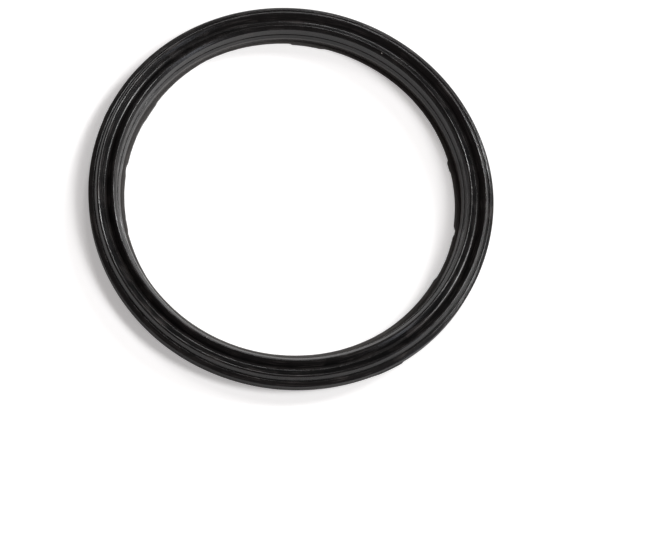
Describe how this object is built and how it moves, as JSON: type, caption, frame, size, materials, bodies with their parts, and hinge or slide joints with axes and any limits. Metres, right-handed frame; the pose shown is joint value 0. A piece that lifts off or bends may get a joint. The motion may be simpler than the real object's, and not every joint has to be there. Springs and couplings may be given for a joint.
{
  "type": "cover gasket",
  "caption": "Moulded rubber sealing ring with a flat base, two rounded sealing lips with a groove between them, and thin mould flash on its inner edge.",
  "frame": {"origin": "centre of the ring, in the plane of its flat base", "axes": "+Z along the ring's axis, from the base towards the sealing lips; +X and +Y in the plane of the base"},
  "size_m": [0.1304, 0.1302, 0.0072],
  "materials": {
    "rubber": "matt moulded black rubber"
  },
  "bodies": {
    "root": {"cover_gasket": "rubber"}
  },
  "joints": []
}
